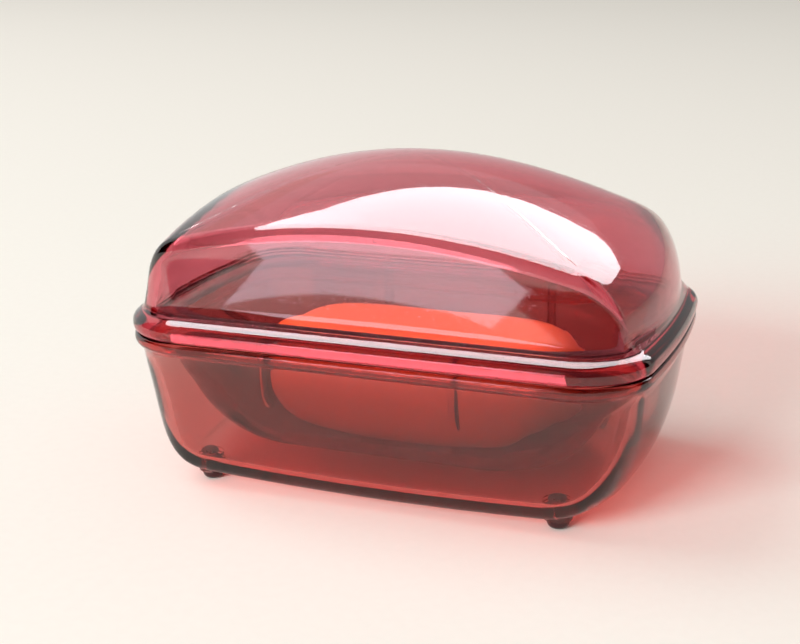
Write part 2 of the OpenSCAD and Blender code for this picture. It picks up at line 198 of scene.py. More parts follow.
def curve(a, b, c, t):
    """A soft bend from a to c that heads for b at first."""
    return mix(mix(a, b, t), mix(b, c, t), t)


def wall_rings(start, z0, edge, z_edge):
    """Rings up or down a wall, from its root to the start of its rounded edge."""
    rings = [ring3(start, np.full(len(start), z0))]
    for j in range(1, WALL_N + 1):
        t = j / WALL_N
        rings.append(ring3(mix(start, edge, t), mix(z0, z_edge, t)))
    return rings


def inner_rings(ring, height):
    """Rings from the edge of a crown or belly in to its middle."""
    rings = []
    for j in range(1, CROWN_N):
        p = ring * (1 - j / CROWN_N)
        rings.append(ring3(p, height(p[:, 0], p[:, 1])))
    return rings


def lid_skin(t):
    """Outside (t = 0) or inside of the lid: its wall follows the rim, cut back by the ends, and its
    edge gets softer as the shoulder drops."""
    in0, z0 = LID_BEAD_OUT + t, PARTING_Z + LID_BEAD_H
    r = RIM_CORNER_R - in0
    start, _ = plan_ring(in0, in0, r)
    edge, _ = plan_ring(in0 + LID_LEAN_END, in0 + LID_LEAN_FRONT, r)
    edge[:, 0] = np.sign(edge[:, 0]) * np.minimum(np.abs(edge[:, 0]), lid_end_x(edge[:, 1], t))
    close, _ = plan_ring(in0 + LID_LEAN_END + LID_EDGE_R, in0 + LID_LEAN_FRONT + LID_EDGE_R,
                         r - LID_EDGE_R)
    far, _ = plan_ring(in0 + LID_LEAN_END + SHOULDER_RUN, in0 + LID_LEAN_FRONT + LID_EDGE_R, r)
    share = shoulder_share(edge[:, 0], edge[:, 1], t)
    radius = LID_EDGE_R * np.sqrt(1 - share ** 2)
    crown = mix(close, far, (share ** 2)[:, None])
    rings = wall_rings(start, z0, edge, lid_top_z(edge[:, 0], edge[:, 1], t) - radius)
    for j in range(1, EDGE_N + 1):
        p = mix(edge, crown, 1 - cos(pi / 2 * j / EDGE_N))
        short = np.clip(radius - np.hypot(*(p - edge).T), 0, None)
        drop = np.where(short > 0, radius - np.sqrt(radius ** 2 - short ** 2), 0)
        rings.append(ring3(p, lid_top_z(p[:, 0], p[:, 1], t) - drop))
    return rings + inner_rings(crown, lambda x, y: lid_top_z(x, y, t))


def base_skin(t):
    """Outside (t = 0) or inside of the base: its wall leans in and turns into the belly, in a tight
    curve along the front and back and in a wide sweep at the ends."""
    in0, z0 = BASE_WALL_IN + t, PARTING_Z - BASE_BEAD_H
    r = RIM_CORNER_R - in0
    start, w = plan_ring(in0, in0, r)
    edge, _ = plan_ring(in0 + BASE_LEAN_END, in0 + BASE_LEAN_FRONT, r)
    floor, _ = plan_ring(in0 + BASE_LEAN_END + SWEEP_RUN, in0 + BASE_LEAN_FRONT + BASE_EDGE_R, r)
    z_floor = belly_z(floor[:, 0], floor[:, 1]) + t
    z_edge = z_floor + mix(BASE_EDGE_R, SWEEP_RISE, w)
    turn = start + (edge - start) * (1 + (z_floor - z_edge) / (z_edge - z0))[:, None]
    rings = wall_rings(start, z0, edge, z_edge)
    for j in range(1, EDGE_N + 1):
        u = j / EDGE_N
        rings.append(ring3(curve(edge, turn, floor, u), curve(z_edge, z_floor, z_floor, u)))
    return rings + inner_rings(floor, lambda x, y: belly_z(x, y) + t)


def bead_rings(z_joint, height, stand_in, stand_out):
    """The rounded rim bead, from the joint face to the wall: a fat half-round whose last part
    sweeps softly into the wall."""
    shape = [(0.42, 0), (0.27, 0.02), (0.16, 0.06), (0.08, 0.12), (0.03, 0.2), (0, 0.3), (0, 0.4),
             (0.03, 0.5), (0.09, 0.58), (0.18, 0.66), (0.3, 0.735), (0.45, 0.8), (0.6, 0.855),
             (0.74, 0.895), (0.86, 0.93), (0.94, 0.965)]
    return [rim_level(stand_in + s * stand_out, z_joint + h * height) for s, h in shape]


def mesh_object(name, points, faces):
    """A smooth object from points in millimetres, with its faces turned outwards."""
    me = bpy.data.meshes.new(name)
    me.from_pydata((np.array(points) * MM).tolist(), [], faces)
    bm = bmesh.new()
    bm.from_mesh(me)
    bmesh.ops.recalc_face_normals(bm, faces=bm.faces)
    bm.to_mesh(me)
    bm.free()
    me.shade_smooth()
    ob = bpy.data.objects.new(name, me)
    bpy.context.scene.collection.objects.link(ob)
    return ob


def loft(name, rings, first_z, last_z):
    """A closed body through equal rings, closed by a fan at each end."""
    n, m = len(rings[0]), len(rings)
    points = np.vstack(rings + [np.array([[0, 0, first_z], [0, 0, last_z]])])
    i = np.arange(n)
    j = (i + 1) % n
    faces = []
    for k in range(m - 1):
        a, b = k * n, (k + 1) * n
        faces += np.column_stack([a + i, b + i, b + j, a + j]).tolist()
    faces += np.column_stack([np.full(n, m * n), i, j]).tolist()
    faces += np.column_stack([np.full(n, m * n + 1), (m - 1) * n + j, (m - 1) * n + i]).tolist()
    return mesh_object(name, points, faces)


# Nodes
def srgb(code):
    """A hex sRGB colour as linear RGBA."""
    c = [int(code[i:i + 2], 16) / 255 for i in (1, 3, 5)]
    return (*[v / 12.92 if v <= 0.04045 else ((v + 0.055) / 1.055) ** 2.4 for v in c], 1.0)


def add(tree, kind, links=None, **settings):
    """Adds a node. Settings go to its properties. Links are {input: value}, where a value is a number,
    a colour, a socket, a node (its first output) or a list of sockets that meet in one input."""
    node = tree.nodes.new(kind)
    for key, value in settings.items():
        setattr(node, key, value)
    for key, value in (links or {}).items():
        for source in value if isinstance(value, list) else [value]:
            if isinstance(source, bpy.types.Node):
                source = source.outputs[0]
            if isinstance(source, bpy.types.NodeSocket):
                tree.links.new(source, node.inputs[key])
            else:
                node.inputs[key].default_value = source
    return node


def new_material(name):
    """An empty material and its node tree."""
    mat = bpy.data.materials.new(name)
    mat.use_nodes = True
    mat.node_tree.nodes.clear()
    return mat, mat.node_tree


def new_growth(name, inputs):
    """A Geometry Nodes tree with named inputs, given as {name: kind of socket}."""
    tree = bpy.data.node_groups.new(name, "GeometryNodeTree")
    tree.interface.new_socket("Geometry", in_out="OUTPUT", socket_type="NodeSocketGeometry")
    for label, kind in {"Geometry": "Geometry", **inputs, "Material": "Material"}.items():
        tree.interface.new_socket(label, in_out="INPUT", socket_type="NodeSocket" + kind)
    return tree, add(tree, "NodeGroupInput").outputs


def end_growth(tree, given, mesh):
    """Ends a tree: plain mesh, crisp edges where the surface turns sharply, one material."""
    plain = add(tree, "GeometryNodeRealizeInstances", {0: mesh})
    angle = add(tree, "GeometryNodeInputMeshEdgeAngle")
    sharp = add(tree, "FunctionNodeCompare", {0: angle, 1: CRISP}, operation="GREATER_THAN")
    crisp = add(tree, "GeometryNodeSetShadeSmooth", {0: plain, 1: sharp, 2: False}, domain="EDGE")
    done = add(tree, "GeometryNodeSetMaterial", {0: crisp, "Material": given["Material"]})
    add(tree, "NodeGroupOutput", {0: done})


def grow(name, tree, values, start=None):
    """Runs a tree on a mesh object, or on nothing, and returns its result as a plain mesh object."""
    ob = start or mesh_object(name, np.zeros((0, 3)), [])
    ob.name = name
    mod = ob.modifiers.new(name, "NODES")
    mod.node_group = tree
    for item in tree.interface.items_tree:
        if item.in_out == "INPUT" and item.name in values:
            mod[item.identifier] = values[item.name]
    seen = ob.evaluated_get(bpy.context.evaluated_depsgraph_get())
    me = bpy.data.meshes.new_from_object(seen)
    me.name = name
    ob.modifiers.remove(mod)
    ob.data = me
    return ob


# Materials
def moulded_plastic(name, skin, deep, density, lamp_tint, seed):
    """Dyed SAN, injection-moulded: a clear resin with wine dye all through, so thin walls are pale and
    beads are deep. The polished mould leaves a wet gloss with faint sink marks, use adds hair scratches.
    skin is the two tints of a surface, deep and density the dye in the wall."""
    mat, t = new_material(name)
    at = add(t, "ShaderNodeTexCoord").outputs["Object"]
    own = add(t, "ShaderNodeMapping", {"Vector": at, "Location": (seed, seed * 0.7, -seed)})
    # Sink marks about 30 mm across
    sink = add(t, "ShaderNodeTexNoise", {"Vector": own, "Scale": 1 / (30 * MM), "Detail": 1.0})
    low = add(t, "ShaderNodeBump", {"Height": sink, "Strength": 0.03, "Distance": 2 * MM})
    # Scratches of 1 mm, drawn 0.1 mm wide to show at all
    turned = add(t, "ShaderNodeMapping", {"Vector": at, "Rotation": (0.3, 0.2, 0.6), "Scale": (1, 9, 1)})
    hair = add(t, "ShaderNodeTexNoise", {"Vector": turned, "Scale": 1 / MM, "Detail": 2.0})
    rubbed = add(t, "ShaderNodeMapRange", {"Value": hair, "From Min": 0.62, "From Max": 0.8})
    gloss = add(t, "ShaderNodeMapRange", {"Value": rubbed, "To Min": 0.03, "To Max": 0.12})
    bump = add(t, "ShaderNodeBump", {"Height": rubbed, "Strength": 0.03, "Distance": 0.1 * MM,
                                     "Normal": low})
    # The dye's flow marks, about 45 mm long
    flow = add(t, "ShaderNodeTexNoise", {"Vector": own, "Scale": 1 / (45 * MM), "Detail": 2.0})
    dye = add(t, "ShaderNodeMix", {0: flow, 6: srgb(skin[0]), 7: srgb(skin[1])}, data_type="RGBA")
    body = add(t, "ShaderNodeBsdfPrincipled", {
        "Base Color": dye.outputs[2], "Roughness": gloss, "IOR": 1.56, "Transmission Weight": 1.0,
        "Normal": bump})
    # A lamp shines through without the noise of caustics
    clear = add(t, "ShaderNodeBsdfTransparent", {"Color": srgb(lamp_tint)})
    lamp_ray = add(t, "ShaderNodeLightPath").outputs["Is Shadow Ray"]
    surface = add(t, "ShaderNodeMixShader", {0: lamp_ray, 1: body, 2: clear})
    inside = add(t, "ShaderNodeVolumeAbsorption", {"Color": srgb(deep), "Density": density})
    add(t, "ShaderNodeOutputMaterial", {"Surface": surface, "Volume": inside})
    return mat


def soap_material():
    """Glycerine soap, a little used: soft satin skin over cloudy orange that lets light in at its edges."""
    mat, t = new_material("glycerine_soap")
    at = add(t, "ShaderNodeTexCoord").outputs["Object"]
    # Clouds of 16 mm in the colour, and a skin worn uneven over 1.4 mm
    cloud = add(t, "ShaderNodeTexNoise", {"Vector": at, "Scale": 1 / (16 * MM), "Detail": 3.0})
    worn = add(t, "ShaderNodeTexNoise", {"Vector": at, "Scale": 1 / (1.4 * MM), "Detail": 3.0})
    colour = add(t, "ShaderNodeMix", {0: cloud, 6: srgb("#FDB862"), 7: srgb("#FAA94E")}, data_type="RGBA")
    bump = add(t, "ShaderNodeBump", {"Height": worn, "Strength": 0.08, "Distance": 0.4 * MM})
    body = add(t, "ShaderNodeBsdfPrincipled", {
        "Base Color": colour.outputs[2], "Roughness": 0.38, "IOR": 1.47, "Subsurface Weight": 0.35,
        "Subsurface Radius": (6 * MM, 3 * MM, 1 * MM), "Subsurface Scale": 1.0, "Normal": bump})
    add(t, "ShaderNodeOutputMaterial", {"Surface": body})
    return mat


def foot_material():
    """Soft dark PVC, moulded: smooth with a slight sheen, and a fine grain of dust."""
    mat, t = new_material("soft_pvc_foot")
    at = add(t, "ShaderNodeTexCoord").outputs["Object"]
    # Dust of 0.7 mm
    dust = add(t, "ShaderNodeTexNoise", {"Vector": at, "Scale": 1 / (0.7 * MM), "Detail": 2.0})
    colour = add(t, "ShaderNodeMix", {0: dust, 6: srgb("#2A0E12"), 7: srgb("#38161A")}, data_type="RGBA")
    bump = add(t, "ShaderNodeBump", {"Height": dust, "Strength": 0.1, "Distance": 0.1 * MM})
    body = add(t, "ShaderNodeBsdfPrincipled", {
        "Base Color": colour.outputs[2], "Roughness": 0.22, "IOR": 1.53, "Normal": bump})
    add(t, "ShaderNodeOutputMaterial", {"Surface": body})
    return mat


lid_plastic = moulded_plastic("dyed_san_lid", skin=("#EEDFE4", "#F1E3E7"), deep="#F6B6C1", density=600.0,
                              lamp_tint="#FDFAF9", seed=1.3)
base_plastic = moulded_plastic("dyed_san_base", skin=("#E2D9D8", "#E5DDDC"), deep="#F8C4C0", density=600.0,
                               lamp_tint="#F6EFEC", seed=4.1)
dish_plastic = moulded_plastic("dyed_san_dish", skin=("#BCAEAA", "#C1B4B0"), deep="#EEACA2", density=700.0,
                               lamp_tint="#FCF8F6", seed=7.7)
soap_skin = soap_material()
foot_skin = foot_material()


# Lid and base
def make_lid():
    """Inner skin, step out to the skirt, foot of the skirt, bead, outer skin."""
    foot_z = PARTING_Z + SEAT_GAP
    rings = [*lid_skin(WALL)[::-1],
             *soft_edge(LID_BEAD_OUT + WALL, LID_STEP_Z, STEP_TOP),
             *soft_edge(SKIRT_IN, LID_STEP_Z - STEP_DROP, STEP_FOOT),
             *soft_edge(SKIRT_IN, foot_z, SKIRT_FOOT),
             *bead_rings(foot_z, LID_BEAD_H - SEAT_GAP, 0, LID_BEAD_OUT),
             *lid_skin(0)]
    return loft("lid_shell", rings, crown_z(0, 0) - WALL, crown_z(0, 0))


def foot_bosses():
    """Four bosses through the floor, each with a hole for a foot's stem and a recess for its button."""
    tree, given = new_growth("foot_bosses", {
        "Foot X": "Float", "Foot Y": "Float", "Boss Radius": "Float", "Hole Radius": "Float",
        "Recess Radius": "Float", "Bottom": "Float", "Top": "Float", "Over": "Float"})
    size_x = add(tree, "ShaderNodeMath", {0: given["Foot X"], 1: 2.0}, operation="MULTIPLY")
    size_y = add(tree, "ShaderNodeMath", {0: given["Foot Y"], 1: 2.0}, operation="MULTIPLY")
    places = add(tree, "GeometryNodeMeshGrid", {"Size X": size_x, "Size Y": size_y, "Vertices X": 2,
                                                "Vertices Y": 2})
    low = add(tree, "ShaderNodeMath", {0: given["Bottom"], 1: given["Over"]}, operation="SUBTRACT")
    high = add(tree, "ShaderNodeMath", {0: given["Top"], 1: given["Over"]}, operation="ADD")
    parts = []
    for radius, z_low, z_high in ((given["Boss Radius"], given["Bottom"], given["Top"]),
                                  (given["Hole Radius"], low, high),
                                  (given["Recess Radius"], given["Top"], high)):
        depth = add(tree, "ShaderNodeMath", {0: z_high, 1: z_low}, operation="SUBTRACT")
        double = add(tree, "ShaderNodeMath", {0: z_high, 1: z_low}, operation="ADD")
        middle = add(tree, "ShaderNodeMath", {0: double, 1: 0.5}, operation="MULTIPLY")
        lift = add(tree, "ShaderNodeCombineXYZ", {"Z": middle})
        pin = add(tree, "GeometryNodeMeshCylinder", {"Vertices": BORE_N, "Radius": radius, "Depth": depth})
        stood = add(tree, "GeometryNodeTransform", {"Geometry": pin, "Translation": lift})
        four = add(tree, "GeometryNodeInstanceOnPoints", {"Points": places, "Instance": stood})
        parts.append(add(tree, "GeometryNodeRealizeInstances", {0: four}))
    boss, hole, recess = [p.outputs[0] for p in parts]
    joined = add(tree, "GeometryNodeMeshBoolean", {1: [given["Geometry"], boss]}, operation="UNION",
                 solver="EXACT")
    bored = add(tree, "GeometryNodeMeshBoolean", {0: joined, 1: [hole, recess]}, operation="DIFFERENCE",
                solver="EXACT")
    end_growth(tree, given, bored)
    return tree


BOSS_TOP = belly_z(FOOT_X, 0) + WALL + BOSS_RISE


def make_base():
    """Outer skin, bead, lip from its outer face over its top to its root, inner skin. The bosses and
    their holes follow."""
    bead = bead_rings(PARTING_Z, -BASE_BEAD_H, BASE_BEAD_IN, BASE_BEAD_OUT)
    lip_in, lip_top = LIP_OUT_IN + LIP_T, PARTING_Z + LIP_H
    rings = [*base_skin(0)[::-1],
             *bead[::-1],
             *soft_edge(LIP_OUT_IN, PARTING_Z, LIP_FOOT),
             *soft_edge(LIP_OUT_IN, lip_top, LIP_OUTER_EDGE),
             *soft_edge(lip_in, lip_top, LIP_INNER_EDGE),
             *soft_edge(lip_in, LIP_ROOT_Z + LIP_T, ROOT_TOP),
             *soft_edge(LIP_OUT_IN, LIP_ROOT_Z, ROOT_FOOT),
             *base_skin(WALL)]
    shell = loft("base_shell", rings, belly_z(0, 0), belly_z(0, 0) + WALL)
    return grow("base_shell", foot_bosses(), {
        "Foot X": FOOT_X * MM, "Foot Y": FOOT_Y * MM, "Boss Radius": (FOOT_D / 2 + BOSS_MARGIN) * MM,
        "Hole Radius": (FOOT_STEM_D / 2 + STEM_PLAY) * MM,
        "Recess Radius": (FOOT_BUTTON_D / 2 + BUTTON_PLAY) * MM, "Bottom": FOOT_H * MM,
        "Top": BOSS_TOP * MM, "Over": HOLE_OVER * MM, "Material": base_plastic}, shell)


# Dish
# Share of its depth, and how far in from the mouth at the ends and at the sides
DISH_SHAPE = np.array([[0.05, 0, 0], [0.3, 1.2, 0.5], [0.55, 4.2, 1.6], [0.75, 8.4, 3.4],
                       [0.9, 13.5, 6.5], [0.975, 20, 11], [1, 28, 17]])


def smooth_table(table, n):
    """The table's points joined by a smooth (Catmull-Rom) line with n steps between two rows."""
    p = np.vstack([2 * table[0] - table[1], table, 2 * table[-1] - table[-2]])
    out = []
    for k in range(1, len(p) - 2):
        for j in range(n):
            t = j / n
            out.append(0.5 * ((2 * p[k]) + (p[k + 1] - p[k - 1]) * t
                              + (2 * p[k - 1] - 5 * p[k] + 4 * p[k + 1] - p[k + 2]) * t * t
                              + (3 * p[k] - p[k - 1] - 3 * p[k + 1] + p[k + 2]) * t ** 3))
    return np.array(out + [table[-1]])


def dish_z(share, t):
    """Height of the dish's inside (t = 0) or outside at a share of its depth."""
    return PARTING_Z + LIP_H - share * (DISH_DEPTH + LIP_H - DISH_WALL + t)


def dish_rings(t):
    """Rings of the bowl, inside (t = 0) or outside, from the mouth down to the floor."""
    rings = []
    for share, end, front in smooth_table(DISH_SHAPE, DISH_N):
        share = min(share, 1.0)
        in_x, in_y = MOUTH_END - t + end, MOUTH_FRONT - t + front
        r = min(mix(RIM_CORNER_R - MOUTH_TIGHTER, DISH_FLOOR_R, share), HY - in_y - RING_STRAIGHT,
                HX - in_x - END_BOW - RING_STRAIGHT)
        rings.append(level(in_x, in_y, r, dish_z(share, t)))
    return rings


def plate(name, outline):
    """A thin plate standing along +X from its side view, with softened edges."""
    n = len(outline)
    points = [(x, side * FIN_T / 2, z) for side in (-1, 1) for x, z in outline]
    faces = [list(range(n)), list(range(2 * n - 1, n - 1, -1))]
    faces += [[i, (i + 1) % n, (i + 1) % n + n, i + n] for i in range(n)]
    ob = mesh_object(name, points, faces)
    bm = bmesh.new()
    bm.from_mesh(ob.data)
    rim = [e for e in bm.edges if e.calc_face_angle() > PLATE_CORNER]
    bmesh.ops.bevel(bm, geom=rim, offset=PLATE_EDGE_R * MM, segments=3, affect="EDGES", profile=0.5)
    bm.to_mesh(ob.data)
    bm.free()
    return ob


def fin_plate():
    """A fin outside the dish: down from the flange, then in to the wall."""
    wall_x = HY - MOUTH_FRONT + DISH_WALL
    share, _, front = DISH_SHAPE.T
    edge_x = HY - LIP_OUT_IN - LIP_T - LIP_PLAY
    foot_x = wall_x - np.interp((FIN_LEN + LIP_H) / (DISH_DEPTH + LIP_H), share, front)
    top, low = FLANGE_Z + FLANGE_T / 2, PARTING_Z - FIN_LEN
    turn = np.radians(np.arange(0, 80, TURN_STEP))
    edge = zip(mix(foot_x, edge_x, np.cos(turn)), mix(PARTING_Z - FIN_STRAIGHT, low, np.sin(turn)))
    return plate("fin", [(wall_x - FIN_ROOT, top), (edge_x, top), *edge, (foot_x - FIN_ROOT, low),
                         (wall_x - DISH_SHAPE[1][2] - FIN_ROOT, dish_z(DISH_SHAPE[1][0], DISH_WALL))])


def stop_plate():
    """A stop inside the end of the dish: from nothing at the rim to its full reach below."""
    wall_x = HX - MOUTH_END
    share, end, _ = DISH_SHAPE[1:].T
    foot = np.interp(STOP_RUN, end, share)
    back = [(wall_x - DISH_SHAPE[k][1] + FIN_ROOT, dish_z(DISH_SHAPE[k][0], 0)) for k in (2, 1)]
    return plate("stop", [(wall_x + FIN_ROOT, PARTING_Z), (wall_x - STOP_RUN, PARTING_Z - STOP_DROP),
                          (wall_x - STOP_RUN, dish_z(foot, 0) - FIN_ROOT), *back])


def fins_and_stops():
    """Two fins and a stop, and the same again turned half round, made one with the dish."""
    tree, given = new_growth("fins_and_stops", {"Fin": "Object", "Stop": "Object", "Fin Spacing": "Float",
                                                "Fin Shift": "Float"})
    fin = add(tree, "GeometryNodeObjectInfo", {"Object": given["Fin"]}).outputs["Geometry"]
    stop = add(tree, "GeometryNodeObjectInfo", {"Object": given["Stop"]}).outputs["Geometry"]
    first = add(tree, "ShaderNodeMath", {0: given["Fin Shift"], 1: given["Fin Spacing"]},
                operation="SUBTRACT")
    last = add(tree, "ShaderNodeMath", {0: given["Fin Shift"], 1: given["Fin Spacing"]}, operation="ADD")
    line = add(tree, "GeometryNodeMeshLine", {
        "Count": 2, "Start Location": add(tree, "ShaderNodeCombineXYZ", {"X": first}),
        "Offset": add(tree, "ShaderNodeCombineXYZ", {"X": last})}, mode="END_POINTS")
    pair = add(tree, "GeometryNodeInstanceOnPoints", {"Points": line, "Instance": fin,
                                                      "Rotation": (0, 0, -pi / 2)})
    half = add(tree, "GeometryNodeJoinGeometry", {0: [pair.outputs[0], stop]})
    turns = add(tree, "GeometryNodePoints", {"Count": 2})
    angle = add(tree, "ShaderNodeMath", {0: add(tree, "GeometryNodeInputIndex"), 1: pi},
                operation="MULTIPLY")
    both = add(tree, "GeometryNodeInstanceOnPoints", {
        "Points": turns, "Instance": half, "Rotation": add(tree, "ShaderNodeCombineXYZ", {"Z": angle})})
    plain = add(tree, "GeometryNodeRealizeInstances", {0: both})
    joined = add(tree, "GeometryNodeMeshBoolean", {1: [given["Geometry"], plain.outputs[0]]},
                 operation="UNION", solver="EXACT")
    end_growth(tree, given, joined)
    return tree


def mouth_level(out, z):
    """A ring that follows the mouth of the dish, out from it all round."""
    return level(MOUTH_END - out, MOUTH_FRONT - out, RIM_CORNER_R - MOUTH_TIGHTER, z)


def make_tray():
    """Outside of the bowl, underside and edge of the flange, rounded mouth, inside of the bowl. The fins
    and stops follow."""
    top, b, m = FLANGE_Z + FLANGE_T, FLANGE_BEVEL, MOUTH_BEVEL
    rings = [*dish_rings(DISH_WALL)[::-1],
             *[mouth_level(DISH_WALL + out, FLANGE_Z - drop) for out, drop in FLANGE_ROOT],
             *soft_edge(FLANGE_IN, FLANGE_Z, [(b, 0), (b / 3, b / 3), (0, b)]),
             *soft_edge(FLANGE_IN, top, [(0, -b), (b / 3, -b / 3), (b, 0)]),
             *[mouth_level(m * out, top - m * drop) for out, drop in MOUTH_ROUND],
             *dish_rings(0)]
    dish = loft("dish", rings, DISH_FLOOR_Z - DISH_WALL, DISH_FLOOR_Z)
    fin, stop = fin_plate(), stop_plate()
    grow("dish", fins_and_stops(), {"Fin": fin, "Stop": stop, "Fin Spacing": FIN_X * MM,
                                    "Fin Shift": FIN_SHIFT * MM, "Material": dish_plastic}, dish)
    for plain in (fin, stop):
        bpy.data.objects.remove(plain)
    return dish


# Soap and feet
def soap_shape():
    """The bar: a cylinder bent by rule to a squarish oval with round edges and a dip along its top."""
    tree, given = new_growth("soap_shape", {
        "Length": "Float", "Width": "Float", "Thickness": "Float", "Dip": "Float", "Shift": "Float",
        "Floor": "Float", "Squareness": "Float", "Ease": "Vector"})
    tin = add(tree, "GeometryNodeMeshCylinder", {
        "Vertices": SOAP_ROUND_N, "Side Segments": SOAP_SIDE_N, "Fill Segments": SOAP_FILL_N,
        "Radius": 1.0, "Depth": 2.0})
    at = add(tree, "ShaderNodeSeparateXYZ", {0: add(tree, "GeometryNodeInputPosition")}).outputs
    flat = add(tree, "ShaderNodeCombineXYZ", {"X": at["X"], "Y": at["Y"]})
    out = add(tree, "ShaderNodeVectorMath", {0: flat}, operation="LENGTH").outputs["Value"]
    way = add(tree, "ShaderNodeSeparateXYZ", {
        0: add(tree, "ShaderNodeVectorMath", {0: flat}, operation="NORMALIZE")}).outputs
    power = add(tree, "ShaderNodeMath", {0: 2.0, 1: given["Squareness"]}, operation="DIVIDE")
    oval = []
    for axis in ("X", "Y"):
        size = add(tree, "ShaderNodeMath", {0: way[axis]}, operation="ABSOLUTE")
        bent = add(tree, "ShaderNodeMath", {0: size, 1: power}, operation="POWER")
        sign = add(tree, "ShaderNodeMath", {0: way[axis]}, operation="SIGN")
        oval.append(add(tree, "ShaderNodeMath", {0: bent, 1: sign}, operation="MULTIPLY"))
    # How far round the edge a point lies, as a quarter turn up or down
    turn = add(tree, "ShaderNodeMath", {0: at["Z"], 1: pi / 2}, operation="MULTIPLY")
    level_part = add(tree, "ShaderNodeMath", {0: turn}, operation="COSINE")
    rise = add(tree, "ShaderNodeMath", {0: turn}, operation="SINE")
    thick = add(tree, "ShaderNodeMath", {0: given["Thickness"], 1: 0.5}, operation="MULTIPLY")
    lost = add(tree, "ShaderNodeMath", {0: 1.0, 1: level_part}, operation="SUBTRACT")
    draw_in = add(tree, "ShaderNodeMath", {0: thick, 1: lost}, operation="MULTIPLY")
    whole = add(tree, "ShaderNodeCombineXYZ", {"X": given["Length"], "Y": given["Width"]})
    reach = add(tree, "ShaderNodeVectorMath", {0: whole, "Scale": 0.5}, operation="SCALE")
    eased = add(tree, "ShaderNodeVectorMath", {0: given["Ease"], "Scale": draw_in}, operation="SCALE")
    half = add(tree, "ShaderNodeVectorMath", {0: reach, 1: eased}, operation="SUBTRACT")
    rim = add(tree, "ShaderNodeCombineXYZ", {"X": oval[0], "Y": oval[1]})
    edge = add(tree, "ShaderNodeVectorMath", {0: rim, 1: half}, operation="MULTIPLY")
    plan = add(tree, "ShaderNodeVectorMath", {0: edge, "Scale": out}, operation="SCALE")
    # Height, less the dip, which fades out to the ends and down the sides
    along = add(tree, "ShaderNodeMath", {0: add(tree, "ShaderNodeSeparateXYZ", {0: plan}),
                                         1: given["Length"]}, operation="DIVIDE")
    twice = add(tree, "ShaderNodeMath", {0: along, 1: 2.0}, operation="MULTIPLY")
    square = add(tree, "ShaderNodeMath", {0: twice, 1: 2.0}, operation="POWER")
    middle = add(tree, "ShaderNodeMath", {0: 1.0, 1: square}, operation="SUBTRACT")
    upper = add(tree, "ShaderNodeMath", {0: rise, 1: 0.0}, operation="MAXIMUM")
    sunk = add(tree, "ShaderNodeMath", {0: middle, 1: upper}, operation="MULTIPLY")
    dip = add(tree, "ShaderNodeMath", {0: sunk, 1: given["Dip"]}, operation="MULTIPLY")
    lifted = add(tree, "ShaderNodeMath", {0: rise, 1: 1.0}, operation="ADD")
    height = add(tree, "ShaderNodeMath", {0: lifted, 1: thick, 2: given["Floor"]}, operation="MULTIPLY_ADD")
    top = add(tree, "ShaderNodeMath", {0: height, 1: dip}, operation="SUBTRACT")
    place = add(tree, "ShaderNodeCombineXYZ", {"X": given["Shift"], "Z": top})
    moved = add(tree, "ShaderNodeVectorMath", {0: plan, 1: place}, operation="ADD")
    bar = add(tree, "GeometryNodeSetPosition", {"Geometry": tin, "Position": moved})
    smooth = add(tree, "GeometryNodeSetShadeSmooth", {0: bar}, domain="FACE")
    end_growth(tree, given, smooth)
    return tree


def make_soap():
    """The bar, a seat gap over the dish's floor."""
    return grow("soap_bar_body", soap_shape(), {
        "Length": SOAP_L * MM, "Width": SOAP_W * MM, "Thickness": SOAP_H * MM, "Dip": SOAP_DIP * MM,
        "Shift": SOAP_SHIFT * MM, "Floor": (DISH_FLOOR_Z + SEAT_GAP) * MM, "Squareness": SOAP_SQUARE,
        "Ease": (BAR_EASE_L, BAR_EASE_W, 0.0), "Material": soap_skin})


def make_foot(name, sx, sy):
    """A push-in foot: round pad under the boss, stem through it, button on the inside."""
    r, stem, button, n = FOOT_D / 2, FOOT_STEM_D / 2, FOOT_BUTTON_D / 2, FOOT_N
    bend = np.radians(np.arange(-90, 1, TURN_STEP))
    pad = zip(r - FOOT_ROUND + FOOT_ROUND * np.cos(bend), FOOT_ROUND + FOOT_ROUND * np.sin(bend))
    profile = [*pad, (r, FOOT_H), (stem, FOOT_H), (stem, BOSS_TOP), (button, BOSS_TOP),
               (button, BOSS_TOP + FOOT_BUTTON_H - FOOT_BEVEL),
               (button - FOOT_BEVEL, BOSS_TOP + FOOT_BUTTON_H)]
    a = np.arange(n) * 2 * pi / n
    points = [(x * cos(t) + sx * FOOT_X, x * sin(t) + sy * FOOT_Y, z) for x, z in profile for t in a]
    faces = [[k * n + i, k * n + (i + 1) % n, (k + 1) * n + (i + 1) % n, (k + 1) * n + i]
             for k in range(len(profile) - 1) for i in range(n)]
    last = (len(profile) - 1) * n
    ob = mesh_object(name, points, faces + [list(range(n)), list(range(last, last + n))])
    ob.data.set_sharp_from_angle(angle=CRISP)
    return ob


# Pieces on their bodies
lid, base, dish, soap = make_lid(), make_base(), make_tray(), make_soap()
pieces = [(lid, lid_plastic, "lid_body", "lid", "lid_plastic"),
          (base, base_plastic, "base_body", "base", "base_plastic"),
          (dish, dish_plastic, "tray_body", "tray", "dish_plastic"),
          (soap, soap_skin, "soap_body", "soap_bar", "soap")]
for side, sx in (("left", -1), ("right", 1)):
    for end, sy in (("front", -1), ("back", 1)):
        foot = make_foot(f"{end}_{side}_foot", sx, sy)
        pieces.append((foot, foot_skin, "base_body", f"foot_{end}_{side}", "foot_rubber"))
for ob, mat, body, node, slot in pieces:
    ob.data.materials.clear()
    ob.data.materials.append(mat)
    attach(ob, body)
    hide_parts(node)


